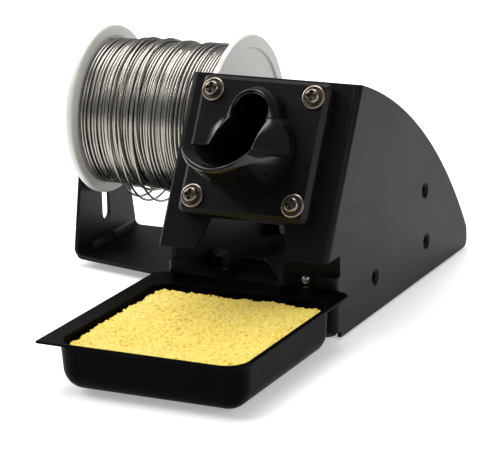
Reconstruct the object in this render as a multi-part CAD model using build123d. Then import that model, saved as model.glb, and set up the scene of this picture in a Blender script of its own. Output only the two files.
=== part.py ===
from build123d import *
import math
import os

os.makedirs("parts", exist_ok=True)

# Soldering iron station, millimetres. Working frame: X = 0 in the middle of the body,
# Y = 0 at the front of the body's posts, Z = 0 on the table. Every node is moved by
# ORIGIN as it is saved, so that the finished origin is the bottom centre of the box.

# Body sheet
BODY_WIDTH = 68.0
SHEET = 1.5
HALF = BODY_WIDTH / 2
INNER_HALF = HALF - SHEET
BODY_BOTTOM = 0.6
FACE_LOW_Y, FACE_LOW_Z = -7.4, 31.3
FACE_LENGTH = 66.3
FACE_LEAN = 28.8
FOLD_R = 2.6
REAR_Y = 130.4
REAR_Z = 8.4
REAR_R = 3.0
ARC_MIDDLE = (81.8, 60.3)
ARC_TOP = (25.6, 89.2)
POST_TOP = 23.6
POST_INNER_X = 26.0
POST_FOOT = 3.0
NOTCH_Y = 4.2
OPENING_LOW, OPENING_HIGH, OPENING_TALL = 19.0, 13.6, 16.0
SIDE_HOLES = [(36.0, 14.2), (86.7, 14.2), (85.6, 34.9)]
SIDE_HOLE_R = 2.1
SIDE_COLLAR_R = 3.3
SIDE_COLLAR_DEEP = 1.0

# Base plate, inner plate and feet
PLATE = 1.2
FOOT_R, FOOT_TALL = 5.0, 2.8
BASE_FRONT, BASE_REAR = 6.4, 124.0
BASE_TOP = FOOT_TALL + PLATE
BASE_FLANGE = 1.4
TAB_X, TAB_Y, TAB_R, TAB_TALL = -21.0, 46.0, 9.6, 8.6
INNER_PLATE_Y = 4.6
INNER_PLATE_X = 11.2
INNER_PLATE_TOP = 29.6
RIVET_X, RIVET_Z = 20.3, [16.6, 20.9]
FEET = [(-26.0, 7.6), (26.0, 7.6), (-24.0, 116.0), (24.0, 116.0)]

# Holder, in the face's own frame: u across, v up the face, h out of the face
HOLDER_WIDE, HOLDER_TALL, HOLDER_THICK = 51.0, 52.0, 7.0
HOLDER_V = 38.3
SCREW_U, SCREW_V = 20.0, (18.2, 58.4)
CUP_V, CUP_R, CUP_MOUTH_R = 36.2, 17.6, 16.2
LOBE_V, LOBE_R, LOBE_EDGE_R = 49.6, 10.8, 10.0
BORE_V, BORE_R, LOBE_BORE = 35.5, 9.0, 7.2
SCOOP_H, SCOOP_BORE_R, FLARE_H = 31.5, 14.4, 17.0
ROOF_R, ROOF_LOW_H, ROOF_TOP_R, ROOF_TOP_H = 16.6, 5.0, 9.2, 20.0
LOBE_ROOF_R, LOBE_ROOF_LOW_H, LOBE_ROOF_TOP_H = 7.8, 4.4, 9.4
SLOT_HALF = 7.4
TUBE_WALL, TUBE_DRAFT = 2.0, 0.5
SPIGOT_H, TUBE_END_H = -2.0, -58.0
TUBE_COLLAR = 2.6
FACE_HOLE_CLEAR = 0.15

# Small fasteners
M3_R, M3_HEAD_R, M3_HEAD_H, M3_NUT, M3_NUT_H = 1.5, 2.8, 2.0, 5.5, 2.4
M3_WASHER_R, M3_WASHER_H, M3_HOLE_R = 4.4, 0.8, 1.65
M4_R, M4_HEAD_R, M4_HEAD_H, M4_NUT, M4_NUT_H = 2.0, 3.6, 2.4, 7.0, 3.2
M4_WASHER_R, M4_WASHER_H = 4.4, 0.8

# Spool bracket
BRACKET_X = -102.5
BRACKET_LOW = 3.0
BRACKET_HIGH = 72.0
BEND_R = 4.0
FLANGE_Y = 73.8
FLANGE_LOW_HALF, FLANGE_HIGH_HALF = 24.2, 11.5
SLOT_R, SLOT_LOW, SLOT_HIGH = 3.1, 13.0, 68.0
EAR_FRONT, EAR_REAR, EAR_TOP = 28.0, 95.0, 20.0
EAR_R = 5.0
RIB_Y, RIB_LEG, RIB_WIDE = (60.5, 78.5), 2.6, 2.2
BRACKET_FOOT = (-84.0, 74.0)

# Spool and axle
SPOOL_Y, SPOOL_Z, SPOOL_R = 74.0, 59.5, 33.8
SPOOL_LEFT, SPOOL_RIGHT = -98.9, -35.3
FLANGE_THICK, FLANGE_RIM_R = 3.0, 1.2
RECESS_R, RECESS_DEEP = 28.6, 0.9
CORE_R, CORE_BORE = 14.0, 6.05
WINDING_R = 28.8
COUNTER_R, COUNTER_DEEP = 9.4, 9.0
SLEEVE_R = 6.0
M6_R, M6_HEAD_R, M6_HEAD_H = 3.0, 5.2, 3.3
M6_WASHER_R, M6_WASHER_H = 8.0, 1.4
END_PLAY = 0.4
NUT_HUB_R, NUT_LONG, BOLT_TAIL = 5.0, 5.2, 1.6
WING_SPAN, WING_TALL, WING_THICK = 12.0, 6.0, 1.8
TURN_CLEAR = 0.05
LOOSE_WIRE_R = 0.5
LOOSE_TURNS = [(-81.0, 31.7, 2.3), (-77.3, 31.8, 2.4), (-71.5, 31.7, 2.3)]

# Sponge tray and sponge
TRAY_SHEET = 0.9
TRAY_LOW = 1.2
LIP_TOP = 18.6
LIP_LEFT, LIP_RIGHT = -39.0, 39.5
LIP_FRONT, LIP_BACK = -86.5, 1.7
LIP_BEVEL = 3.0
POCKET_LEFT, POCKET_RIGHT, POCKET_BACK = -33.0, 38.4, -10.0
POCKET_R, BOTTOM_R, DRAFT = 8.6, 8.0, 4.0
LIP_CLEAR = 0.4
SPONGE_LEFT, SPONGE_RIGHT = -30.4, 35.8
SPONGE_FRONT, SPONGE_BACK = -83.9, -12.8
SPONGE_LOW, SPONGE_TOP, SPONGE_R = 2.5, 17.3, 7.4

# Overall box and the move that puts the origin at its bottom centre
BOX_LEFT = BRACKET_X - M6_WASHER_H - NUT_LONG - BOLT_TAIL
ORIGIN = Vector((BOX_LEFT + LIP_RIGHT) / 2, (LIP_FRONT + REAR_Y) / 2, 0)

LEAN = math.radians(FACE_LEAN)
FACE_UP = Vector(0, math.sin(LEAN), math.cos(LEAN))
FACE_OUT = Vector(0, -math.cos(LEAN), math.sin(LEAN))
FACE_LOW = Vector(0, FACE_LOW_Y, FACE_LOW_Z)
FACE = Plane(origin=FACE_LOW, x_dir=(1, 0, 0), z_dir=FACE_OUT)


def save(name, shape):
    """Write one node, moved into the finished frame."""
    export_step(Pos(-ORIGIN.X, -ORIGIN.Y, 0) * shape, f"parts/{name}.step")


def group(solids):
    return Compound(children=solids)


def block(x, y, z):
    """A box given by its low and high limits along each axis."""
    size = [b - a for a, b in (x, y, z)]
    return Pos(*[(a + b) / 2 for a, b in (x, y, z)]) * Box(*size)


def rod(radius, low, high, u=0.0, v=0.0):
    """A cylinder along the local Z axis between two heights."""
    return Pos(u, v, (low + high) / 2) * Cylinder(radius, high - low)


def cone(low_r, high_r, low, high, u=0.0, v=0.0):
    return Pos(u, v, (low + high) / 2) * Cone(low_r, high_r, high - low)


def side_prism(points, x_low, x_high):
    """A prism across X whose outline is a list of (y, z) points."""
    outline = make_face(Polyline([(0, y, z) for y, z in points], close=True))
    return Pos(x_low, 0, 0) * extrude(outline, amount=x_high - x_low, dir=(1, 0, 0))


def plan_prism(points, z_low, z_high):
    outline = make_face(Polyline(points, close=True))
    return Pos(0, 0, z_low) * extrude(outline, amount=z_high - z_low, dir=(0, 0, 1))


def corners(shape, axis, places, tolerance=0.3):
    """The straight edges along an axis that pass near the given places."""
    found = []
    for edge in shape.edges().filter_by(axis):
        middle = edge.center()
        here = {Axis.X: (middle.Y, middle.Z), Axis.Y: (middle.X, middle.Z), Axis.Z: (middle.X, middle.Y)}[axis]
        if any(math.dist(here, place) < tolerance for place in places):
            found.append(edge)
    return found


# --- Body ---------------------------------------------------------------

def body_outline():
    """Side outline of the whole body: sloping face, curved top and straight rear."""
    face_top = FACE_LOW + FACE_UP * FACE_LENGTH
    lines = Polyline(
        (0, ARC_TOP[0], ARC_TOP[1]), (0, face_top.Y, face_top.Z), (0, FACE_LOW_Y, FACE_LOW_Z),
        (0, NOTCH_Y, FACE_LOW_Z), (0, NOTCH_Y, POST_TOP), (0, 0, POST_TOP), (0, 0, POST_FOOT),
        (0, NOTCH_Y, POST_FOOT), (0, NOTCH_Y, BODY_BOTTOM), (0, REAR_Y, BODY_BOTTOM), (0, REAR_Y, REAR_Z))
    arc = ThreePointArc((0, REAR_Y, REAR_Z), (0, *ARC_MIDDLE), (0, *ARC_TOP))
    return make_face([lines, arc])


def side_collars(side):
    """Collars pressed inwards round the screw holes of one side plate."""
    inner = side * INNER_HALF
    rings = []
    for y, z in SIDE_HOLES:
        ring = Pos(inner - side * SIDE_COLLAR_DEEP / 2, y, z) * Rot(0, 90, 0)
        rings.append(ring * Cylinder(SIDE_COLLAR_R, SIDE_COLLAR_DEEP))
    return rings


def side_hole_cutters():
    """Through holes with a rounded-in mouth on the outside of both side plates."""
    cutters = []
    for y, z in SIDE_HOLES:
        turn = Pos(0, y, z) * Rot(0, 90, 0)
        cutters.append(turn * Cylinder(SIDE_HOLE_R, BODY_WIDTH + 2))
        for side in (-1, 1):
            wide, narrow = (SIDE_COLLAR_R, SIDE_HOLE_R) if side < 0 else (SIDE_HOLE_R, SIDE_COLLAR_R)
            mouth = Cone(wide, narrow, SHEET * 0.6)
            cutters.append(turn * Pos(0, 0, side * (HALF - SHEET * 0.3)) * mouth)
    return cutters


def body_shell():
    solid = Pos(-HALF, 0, 0) * extrude(body_outline(), amount=BODY_WIDTH, dir=(1, 0, 0))
    folds = [e for e in solid.edges() if abs(abs(e.center().X) - HALF) < 0.01
             and (abs(e.tangent_at(0.5).dot(FACE_UP)) > 0.999 or
                  (abs(e.center().Y) < 0.01 and abs(e.tangent_at(0.5).Z) > 0.999))]
    solid = fillet(folds, FOLD_R)
    solid = fillet(corners(solid, Axis.X, [(REAR_Y, BODY_BOTTOM), (REAR_Y, REAR_Z)]), REAR_R)
    back = FACE_LOW - FACE_OUT * SHEET
    top = back + FACE_UP * (FACE_LENGTH + 20)
    far_y = REAR_Y + 10
    room = side_prism([(back.Y, back.Z), (top.Y, top.Z), (far_y, top.Z), (far_y, back.Z)],
                      -INNER_HALF, INNER_HALF)
    room = fillet([e for e in room.edges() if abs(e.tangent_at(0.5).dot(FACE_UP)) > 0.999], FOLD_R - SHEET)
    gap = block((-INNER_HALF, INNER_HALF), (-20, far_y), (POST_TOP, FACE_LOW_Z))
    lower = block((-INNER_HALF, INNER_HALF), (SHEET, far_y), (-1, POST_TOP))
    doorway = block((-POST_INNER_X, POST_INNER_X), (-20, far_y), (-1, POST_TOP))
    shell = solid - room - gap - lower - doorway
    lip_slot = block((-HALF - 1, HALF + 1), (-1, LIP_BACK + 0.9),
                     (LIP_TOP - TRAY_SHEET - LIP_CLEAR, LIP_TOP + LIP_CLEAR))
    window = [(-OPENING_LOW, -1), (OPENING_LOW, -1), (OPENING_HIGH, OPENING_TALL), (-OPENING_HIGH, OPENING_TALL)]
    opening = FACE.location * plan_prism(window, -8, 5)
    hole_wall = TUBE_WALL + FACE_HOLE_CLEAR
    tube_hole = twin_rods(BORE_R + hole_wall, LOBE_BORE + hole_wall, -5, 5)
    screw_holes = [rod(M3_HOLE_R, -5, 5, u, v) for u in (-SCREW_U, SCREW_U) for v in SCREW_V]
    shell = shell - lip_slot - opening - FACE.location * tube_hole
    for hole in screw_holes:
        shell -= FACE.location * hole
    shell = shell + side_collars(-1) + side_collars(1)
    return shell - side_hole_cutters()


def base_plate():
    """Bottom plate between the sides, with side flanges, a half-round stop and a front tab."""
    inner = INNER_HALF
    plate = block((-inner, inner), (BASE_FRONT, BASE_REAR), (FOOT_TALL, BASE_TOP))
    for side in (-1, 1):
        x = sorted((side * inner, side * (inner - PLATE)))
        plate += block(x, (BASE_FRONT, BASE_REAR), (FOOT_TALL, BASE_TOP + BASE_FLANGE))
    cut = block((TAB_X - TAB_R, TAB_X + TAB_R), (TAB_Y - TAB_TALL, TAB_Y), (0, BASE_TOP + 1))
    stop = Pos(TAB_X, TAB_Y + PLATE / 2, BASE_TOP) * Rot(90, 0, 0) * Cylinder(TAB_R, PLATE)
    stop = stop & block((-HALF, HALF), (TAB_Y - 5, TAB_Y + 5), (FOOT_TALL, BASE_TOP + TAB_TALL))
    front_tab = block((RIVET_X - 5, RIVET_X + 5), (INNER_PLATE_Y + PLATE, INNER_PLATE_Y + 2 * PLATE),
                      (FOOT_TALL, RIVET_Z[-1] + 4))
    return plate - cut + stop + front_tab - rivet_holes()


def inner_plate():
    """Front-facing stiffener on the right, with a flange along the right side plate."""
    y = INNER_PLATE_Y
    outline = [(INNER_PLATE_X, BASE_TOP + 5.2), (INNER_HALF, BASE_TOP + 5.2), (INNER_HALF, INNER_PLATE_TOP),
               (INNER_PLATE_X + 3.2, INNER_PLATE_TOP), (INNER_PLATE_X, INNER_PLATE_TOP - 5.5)]
    face = make_face(Polyline([(x, y, z) for x, z in outline], close=True))
    wall = extrude(face, amount=PLATE, dir=(0, 1, 0))
    flange = block((INNER_HALF - PLATE, INNER_HALF), (y, y + 18), (BASE_TOP + 5.2, INNER_PLATE_TOP))
    return wall + flange - rivet_holes()


def rivet_holes():
    return [Pos(RIVET_X, INNER_PLATE_Y, z) * Rot(90, 0, 0) * Cylinder(1.0, 12) for z in RIVET_Z]


def plate_rivets():
    """Two small rivets through the inner plate and the base plate's front tab."""
    rivets = []
    for z in RIVET_Z:
        shank = Cylinder(1.0, 2 * PLATE)
        front = Pos(0, 0, PLATE) * (Sphere(1.7) & Pos(0, 0, 1) * Box(4, 4, 2))
        rear = Pos(0, 0, -PLATE - 0.3) * Cylinder(1.6, 0.6)
        rivets.append(Pos(RIVET_X, INNER_PLATE_Y + PLATE, z) * Rot(90, 0, 0) * (shank + front + rear))
    return group(rivets)


def foot(x, y, height):
    return Pos(x, y, height / 2) * Cone(FOOT_R - 0.6, FOOT_R, height)


# --- Iron holder, built in the face's frame -----------------------------

def holder_plate():
    plate = extrude(Pos(0, HOLDER_V) * RectangleRounded(HOLDER_WIDE, HOLDER_TALL, 2.5), HOLDER_THICK)
    plate = chamfer(plate.faces().sort_by(Axis.Z)[-1].edges(), 1.6)
    plate -= twin_rods(BORE_R + TUBE_WALL, LOBE_BORE + TUBE_WALL, -1, HOLDER_THICK + 1)
    for u in (-SCREW_U, SCREW_U):
        for v in SCREW_V:
            plate -= rod(M3_HOLE_R, -1, HOLDER_THICK + 1, u, v)
    return plate


def twin_rods(bore_r, lobe_r, low, high):
    """Two overlapping cylinders, on the iron's bore and on the upper lobe."""
    return rod(bore_r, low, high, 0, BORE_V) + rod(lobe_r, low, high, 0, LOBE_V)


def above(points):
    """Everything above a line of (v, h) points, as a prism across the holder."""
    ceiling = HOLDER_THICK + SCOOP_H + 20
    line = [(0, v, HOLDER_THICK + h) for v, h in points]
    outline = make_face(Polyline(line + [(0, points[-1][0], ceiling), (0, points[0][0], ceiling)], close=True))
    return Pos(-30, 0, 0) * extrude(outline, amount=60, dir=(1, 0, 0))


def holder_funnel():
    """Mouth of the holder: a low ring, a roof that rises to a keyhole slot, and a flared scoop."""
    front = HOLDER_THICK
    ring = cone(CUP_R, CUP_MOUTH_R, front, front + SCOOP_H, 0, CUP_V)
    ring -= above([(64, ROOF_LOW_H), (CUP_V, ROOF_LOW_H), (33.8, 8.5), (31.8, 16.1), (29.6, 21.0),
                   (27.0, 25.0), (23.3, 29.6), (20.0, 31.2), (12.0, 31.4)])
    roof = cone(ROOF_R, ROOF_TOP_R, front + ROOF_LOW_H, front + ROOF_TOP_H, 0, CUP_V)
    roof -= above([(64, LOBE_ROOF_TOP_H), (46.6, 9.2), (39.6, 15.4), (32.3, ROOF_TOP_H), (12, 30)])
    lobe = cone(LOBE_R, LOBE_EDGE_R, front, front + LOBE_ROOF_LOW_H, 0, LOBE_V)
    lobe += cone(LOBE_EDGE_R, LOBE_ROOF_R, front + LOBE_ROOF_LOW_H, front + LOBE_ROOF_TOP_H, 0, LOBE_V)
    spigot = twin_rods(BORE_R + TUBE_WALL, LOBE_BORE + TUBE_WALL, SPIGOT_H, front)
    funnel = ring + roof + lobe + spigot
    funnel -= twin_rods(BORE_R, LOBE_BORE, SPIGOT_H - 1, front + SCOOP_H + 1)
    funnel -= block((-SLOT_HALF, SLOT_HALF), (BORE_V, LOBE_V), (front, front + SCOOP_H))
    return funnel - cone(BORE_R, SCOOP_BORE_R, front + FLARE_H, front + SCOOP_H + 0.01, 0, CUP_V)


def holder_rear_tube():
    """Blind twin-bored tube behind the face, with a collar that clips against the face."""
    low, high = TUBE_END_H, SPIGOT_H
    outer = cone(BORE_R + TUBE_WALL - TUBE_DRAFT, BORE_R + TUBE_WALL, low, high, 0, BORE_V)
    outer += cone(LOBE_BORE + TUBE_WALL - TUBE_DRAFT, LOBE_BORE + TUBE_WALL, low, high, 0, LOBE_V)
    outer += twin_rods(BORE_R + TUBE_WALL + TUBE_COLLAR, LOBE_BORE + TUBE_WALL + TUBE_COLLAR, high - 2, high)
    return outer - twin_rods(BORE_R, LOBE_BORE, low + TUBE_WALL, high + 1)


# --- Fasteners, each built along local +Z with its seat at Z = 0 ---------

def pan_screw(radius, head_r, head_h, length):
    """Pan-head screw with a cross recess; the head is above the seat."""
    head = Cylinder(head_r, head_h, align=(Align.CENTER, Align.CENTER, Align.MIN))
    head = fillet(head.edges().sort_by(Axis.Z)[-1], head_h * 0.55)
    slot = Pos(0, 0, head_h) * Box(head_r * 1.5, head_r * 0.42, head_h * 1.3)
    return head + rod(radius, -length, 0) - slot - Rot(0, 0, 90) * slot


def washer(outer, inner, thick):
    return rod(outer, 0, thick) - rod(inner, -1, thick + 1)


def hex_nut(across, bore, thick):
    nut = extrude(RegularPolygon(across / math.sqrt(3), 6), thick)
    round_off = cone(across / 2 + 1.1, across / 2 - 0.15, thick - 1.2, thick + 0.1)
    keep = rod(across, -1, thick - 1.2) + round_off
    return (nut & keep) - rod(bore, -1, thick + 1)


def wing_nut():
    hub = cone(NUT_HUB_R, NUT_HUB_R - 0.8, 0, NUT_LONG)
    wing = Pos(0, WING_SPAN / 2, NUT_LONG * 0.5) * Rot(0, 90, 0) * Cylinder(WING_TALL / 2 - 0.4, WING_THICK)
    web = Pos(0, WING_SPAN / 4 + 1, NUT_LONG * 0.5) * Box(WING_THICK, WING_SPAN / 2, NUT_LONG - 0.8)
    wings = wing + web
    return hub + wings + Rot(0, 0, 180) * wings - rod(M6_R + TURN_CLEAR, -1, NUT_LONG + 1)


def at_holder_screws(shape, height):
    return group([FACE.location * Pos(u, v, height) * shape for u in (-SCREW_U, SCREW_U) for v in SCREW_V])


def at_bracket_screws(shape, x, turn):
    return group([Pos(x, y, z) * Rot(0, turn, 0) * shape for y, z in SIDE_HOLES[:2]])


# --- Spool bracket --------------------------------------------------------

def spool_bracket():
    """Folded sheet: ear on the body's left side, floor under the spool and slotted outer flange."""
    out, ear = BRACKET_X, -HALF
    low, floor = BRACKET_LOW, BRACKET_LOW + SHEET
    outline = [(out, BRACKET_HIGH), (out, low), (ear, low), (ear, EAR_TOP), (ear - SHEET, EAR_TOP),
               (ear - SHEET, floor), (out + SHEET, floor), (out + SHEET, BRACKET_HIGH)]
    profile = make_face(Polyline([(x, 0, z) for x, z in outline], close=True))
    strip = extrude(profile, amount=120, dir=(0, 1, 0))
    strip = fillet(corners(strip, Axis.Y, [(out, low), (ear, low)]), BEND_R)
    strip = fillet(corners(strip, Axis.Y, [(out + SHEET, floor), (ear - SHEET, floor)]), BEND_R - SHEET)
    front, rear = FLANGE_Y - FLANGE_LOW_HALF, FLANGE_Y + FLANGE_LOW_HALF
    plan = plan_prism([(out - 1, front), (-50, front - 11.2), (-44, EAR_FRONT), (-30, EAR_FRONT),
                       (-30, EAR_REAR), (-44, EAR_REAR), (-50, rear - 1), (out - 1, rear)], 0, 100)
    top_front, top_rear = FLANGE_Y - FLANGE_HIGH_HALF, FLANGE_Y + FLANGE_HIGH_HALF
    taper = side_prism([(front, 0), (rear, 0), (rear, BEND_R + low), (top_rear, BRACKET_HIGH),
                        (top_front, BRACKET_HIGH), (front, BEND_R + low)], out - 1, out + SHEET + 0.01)
    taper += block((out + SHEET, 0), (0, 120), (-1, 100))
    bracket = strip & plan & taper
    tips = [(top_front, BRACKET_HIGH), (top_rear, BRACKET_HIGH)]
    bracket = fillet(corners(bracket, Axis.X, tips), FLANGE_HIGH_HALF - 3)
    bracket = fillet(corners(bracket, Axis.X, [(EAR_FRONT, EAR_TOP), (EAR_REAR, EAR_TOP)]), EAR_R)
    slot_x = out + SHEET / 2
    for z in (SLOT_LOW + SLOT_R, SLOT_HIGH - SLOT_R):
        bracket -= Pos(slot_x, SPOOL_Y, z) * Rot(0, 90, 0) * Cylinder(SLOT_R, SHEET + 2)
    bracket -= block((out - 1, out + SHEET + 1), (SPOOL_Y - SLOT_R, SPOOL_Y + SLOT_R),
                     (SLOT_LOW + SLOT_R, SLOT_HIGH - SLOT_R))
    for y in RIB_Y:
        bracket += bend_rib(y)
    for y, z in SIDE_HOLES[:2]:
        bracket -= Pos(ear, y, z) * Rot(0, 90, 0) * Cylinder(SIDE_HOLE_R, 8)
    return bracket


def bend_rib(y):
    """Small pressed rib across the inside of the outer bend."""
    x, z = BRACKET_X + SHEET - 0.2, BRACKET_LOW + SHEET - 0.2
    leg = RIB_LEG + 0.2
    outline = [(x, y - RIB_WIDE / 2, z), (x + leg, y - RIB_WIDE / 2, z), (x, y - RIB_WIDE / 2, z + leg)]
    return extrude(make_face(Polyline(outline, close=True)), amount=RIB_WIDE, dir=(0, 1, 0))


# --- Spool, built along local +Z from its left face, then laid along X -----

SPOOL_LONG = SPOOL_RIGHT - SPOOL_LEFT
SPOOL_AXIS = Pos(SPOOL_LEFT, SPOOL_Y, SPOOL_Z) * Rot(0, 90, 0)


def spool_core():
    core = rod(CORE_R, 0, SPOOL_LONG) - rod(CORE_BORE, -1, SPOOL_LONG + 1)
    core -= rod(COUNTER_R, SPOOL_LONG - COUNTER_DEEP, SPOOL_LONG + 1)
    return SPOOL_AXIS * core


def spool_flange(low, outer_up):
    """Flange with a rounded rim and a shallow recess in its outer face."""
    disc = rod(SPOOL_R, 0, FLANGE_THICK)
    disc = fillet(disc.edges().filter_by(GeomType.CIRCLE), FLANGE_RIM_R)
    disc -= rod(CORE_R, -1, FLANGE_THICK + 1)
    recess_low = FLANGE_THICK - RECESS_DEEP if outer_up else -1
    recess_high = FLANGE_THICK + 1 if outer_up else RECESS_DEEP
    disc -= rod(RECESS_R, recess_low, recess_high) - rod(CORE_R + 3, recess_low, recess_high)
    return SPOOL_AXIS * Pos(0, 0, low) * disc


def solder_winding():
    low, high = FLANGE_THICK, SPOOL_LONG - FLANGE_THICK
    return SPOOL_AXIS * (rod(WINDING_R, low, high) - rod(CORE_R, low - 1, high + 1))


def loose_solder_turns():
    """Three turns that have sprung off the winding and sag below it."""
    return group([Pos(x, SPOOL_Y, SPOOL_Z - drop) * Rot(0, 90, 0) * Torus(radius, LOOSE_WIRE_R)
                  for x, radius, drop in LOOSE_TURNS])


def axle_parts():
    """Bolt, sleeve, washers and wing nut on the spool's axis; local Z runs from the bracket to the body."""
    bracket_in = BRACKET_X + SHEET - SPOOL_LEFT
    bracket_out = BRACKET_X - SPOOL_LEFT
    sleeve_low = bracket_in + M6_WASHER_H
    sleeve_high = SPOOL_LONG - COUNTER_DEEP + END_PLAY
    head_seat = sleeve_high + M6_WASHER_H
    nut_seat = bracket_out - M6_WASHER_H
    bolt = rod(M6_R, nut_seat - NUT_LONG - BOLT_TAIL, head_seat)
    head = Pos(0, 0, head_seat) * Cylinder(M6_HEAD_R, M6_HEAD_H, align=(Align.CENTER, Align.CENTER, Align.MIN))
    head = fillet(head.edges().sort_by(Axis.Z)[-1], 1.6)
    socket = Pos(0, 0, head_seat + M6_HEAD_H - 2) * extrude(RegularPolygon(2.3, 6), 3)
    sleeve = rod(SLEEVE_R, sleeve_low, sleeve_high) - rod(M6_R, sleeve_low - 1, sleeve_high + 1)
    ring = washer(M6_WASHER_R, M6_R, M6_WASHER_H)
    rings = [Pos(0, 0, z) * ring for z in (nut_seat, bracket_in, sleeve_high)]
    nut = Pos(0, 0, nut_seat) * Rot(180, 0, 0) * wing_nut()
    return {"axle_bolt": SPOOL_AXIS * (bolt + head - socket),
            "axle_sleeve": SPOOL_AXIS * sleeve,
            "axle_washers": group([SPOOL_AXIS * r for r in rings]),
            "axle_wing_nut": SPOOL_AXIS * nut}


# --- Sponge tray ------------------------------------------------------------

def pocket(inset, low, bottom_r):
    """The tray's pocket as a solid, drawn in by the inset on every side."""
    left, right = POCKET_LEFT + inset, POCKET_RIGHT - inset
    front, back = LIP_FRONT + inset, POCKET_BACK - inset
    mouth = Pos((left + right) / 2, (front + back) / 2, LIP_TOP)
    outline = mouth * RectangleRounded(right - left, back - front, POCKET_R - inset)
    solid = extrude(outline, amount=low - LIP_TOP, taper=DRAFT)
    return fillet(solid.faces().sort_by(Axis.Z)[0].edges(), bottom_r)


def sponge_tray():
    """Pressed tray: a draughted pocket hung from a flat lip that is widest at the back."""
    bevel = LIP_BEVEL
    lip = plan_prism([(LIP_LEFT, LIP_FRONT), (LIP_RIGHT, LIP_FRONT), (LIP_RIGHT, LIP_BACK - bevel),
                      (LIP_RIGHT - bevel, LIP_BACK), (LIP_LEFT + bevel, LIP_BACK), (LIP_LEFT, LIP_BACK - bevel)],
                     LIP_TOP - TRAY_SHEET, LIP_TOP)
    lip = fillet(corners(lip, Axis.Z, [(LIP_RIGHT, LIP_FRONT)]), POCKET_R + 0.8)
    outer = pocket(0.0, TRAY_LOW, BOTTOM_R)
    inner = pocket(TRAY_SHEET, TRAY_LOW + TRAY_SHEET, BOTTOM_R - TRAY_SHEET)
    return lip + outer - inner


def sponge():
    pad = block((SPONGE_LEFT, SPONGE_RIGHT), (SPONGE_FRONT, SPONGE_BACK), (SPONGE_LOW, SPONGE_TOP))
    pad = fillet(pad.edges().filter_by(Axis.Z), SPONGE_R)
    return fillet(pad.faces().sort_by(Axis.Z)[0].edges(), SPONGE_R - 0.6)


def main():
    save("body_shell", body_shell())
    save("base_plate", base_plate())
    save("inner_plate", inner_plate())
    save("plate_rivets", plate_rivets())
    save("rubber_feet", group([foot(x, y, FOOT_TALL) for x, y in FEET]))

    in_face = FACE.location
    stack = HOLDER_THICK + M3_WASHER_H + SHEET + M3_NUT_H + 1
    save("holder_plate", in_face * holder_plate())
    save("holder_funnel", in_face * holder_funnel())
    save("holder_rear_tube", in_face * holder_rear_tube())
    save("holder_screws", at_holder_screws(pan_screw(M3_R, M3_HEAD_R, M3_HEAD_H, stack), HOLDER_THICK + M3_WASHER_H))
    save("holder_washers", at_holder_screws(washer(M3_WASHER_R, M3_R, M3_WASHER_H), HOLDER_THICK))
    save("holder_nuts", at_holder_screws(Rot(180, 0, 0) * hex_nut(M3_NUT, M3_R, M3_NUT_H), -SHEET))

    ear_out = -HALF - SHEET
    collar_in = -INNER_HALF + SIDE_COLLAR_DEEP
    reach = collar_in - ear_out + M4_WASHER_H + M4_NUT_H
    save("spool_bracket", spool_bracket())
    save("bracket_foot", foot(*BRACKET_FOOT, BRACKET_LOW))
    save("bracket_screws", at_bracket_screws(pan_screw(M4_R, M4_HEAD_R, M4_HEAD_H, reach), ear_out, -90))
    save("bracket_washers", at_bracket_screws(washer(M4_WASHER_R, M4_R, M4_WASHER_H), collar_in, 90))
    save("bracket_nuts", at_bracket_screws(hex_nut(M4_NUT, M4_R, M4_NUT_H), collar_in + M4_WASHER_H, 90))

    for name, shape in axle_parts().items():
        save(name, shape)
    save("spool_core", spool_core())
    save("spool_flange_left", spool_flange(0, False))
    save("spool_flange_right", spool_flange(SPOOL_LONG - FLANGE_THICK, True))
    save("solder_winding", solder_winding())
    save("loose_solder_turns", loose_solder_turns())

    save("sponge_tray", sponge_tray())
    save("sponge", sponge())


main()
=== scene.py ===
import math
import random

import bmesh
import bpy
from mathutils import Matrix, Vector, noise


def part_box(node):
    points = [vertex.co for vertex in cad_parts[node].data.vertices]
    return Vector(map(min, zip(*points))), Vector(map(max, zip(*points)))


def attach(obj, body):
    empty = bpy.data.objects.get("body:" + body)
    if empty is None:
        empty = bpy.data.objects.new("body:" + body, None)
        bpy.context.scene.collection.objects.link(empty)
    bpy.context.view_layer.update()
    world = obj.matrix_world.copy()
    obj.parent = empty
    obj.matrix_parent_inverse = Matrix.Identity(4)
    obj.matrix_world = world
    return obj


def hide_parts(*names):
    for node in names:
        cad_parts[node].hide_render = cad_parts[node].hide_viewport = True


bl_info = {
    "name": "Soldering iron stand",
    "version": (1, 0, 0),
    "blender": (4, 5, 0),
    "location": "3D View > Sidebar > Iron stand",
    "description": "Finishes, funnel, sponge and solder spool of a bench stand for a soldering iron",
    "category": "Object",
}

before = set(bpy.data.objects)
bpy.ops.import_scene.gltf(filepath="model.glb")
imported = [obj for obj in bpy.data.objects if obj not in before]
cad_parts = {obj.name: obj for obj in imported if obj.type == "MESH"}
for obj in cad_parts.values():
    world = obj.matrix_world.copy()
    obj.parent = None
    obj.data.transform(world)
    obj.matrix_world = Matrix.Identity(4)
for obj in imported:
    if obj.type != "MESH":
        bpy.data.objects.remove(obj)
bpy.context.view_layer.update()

MM = 0.001
# The middle of the folded body at its front posts, on the table, in the row frame (mm).
BODY_ORIGIN = Vector((35.6, -21.95, 0.0))
# The sloping face: its lower edge, its lean from upright, and the holder plate's thickness.
FACE_FOOT = Vector((0.0, -7.4, 31.3))
FACE_LEAN = math.radians(28.8)
PLATE_THICK = 7.0
# The four screws of the holder plate, across and up the face.
WASHER_U = 20.0
WASHER_V = (18.2, 58.4)
# The spool's axle and the inner faces of its two flanges.
AXLE_Y = 74.0
AXLE_Z = 59.5
SPOOL_LEFT = -98.9
SPOOL_RIGHT = -35.3
CORE_RADIUS = 14.2
# The centres of the holder's lower and upper bore, up the face, and the wall of the funnel's spigot.
CUP_V = 35.5
LOBE_V = 49.6
SPIGOT_WALL = 1.6
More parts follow.
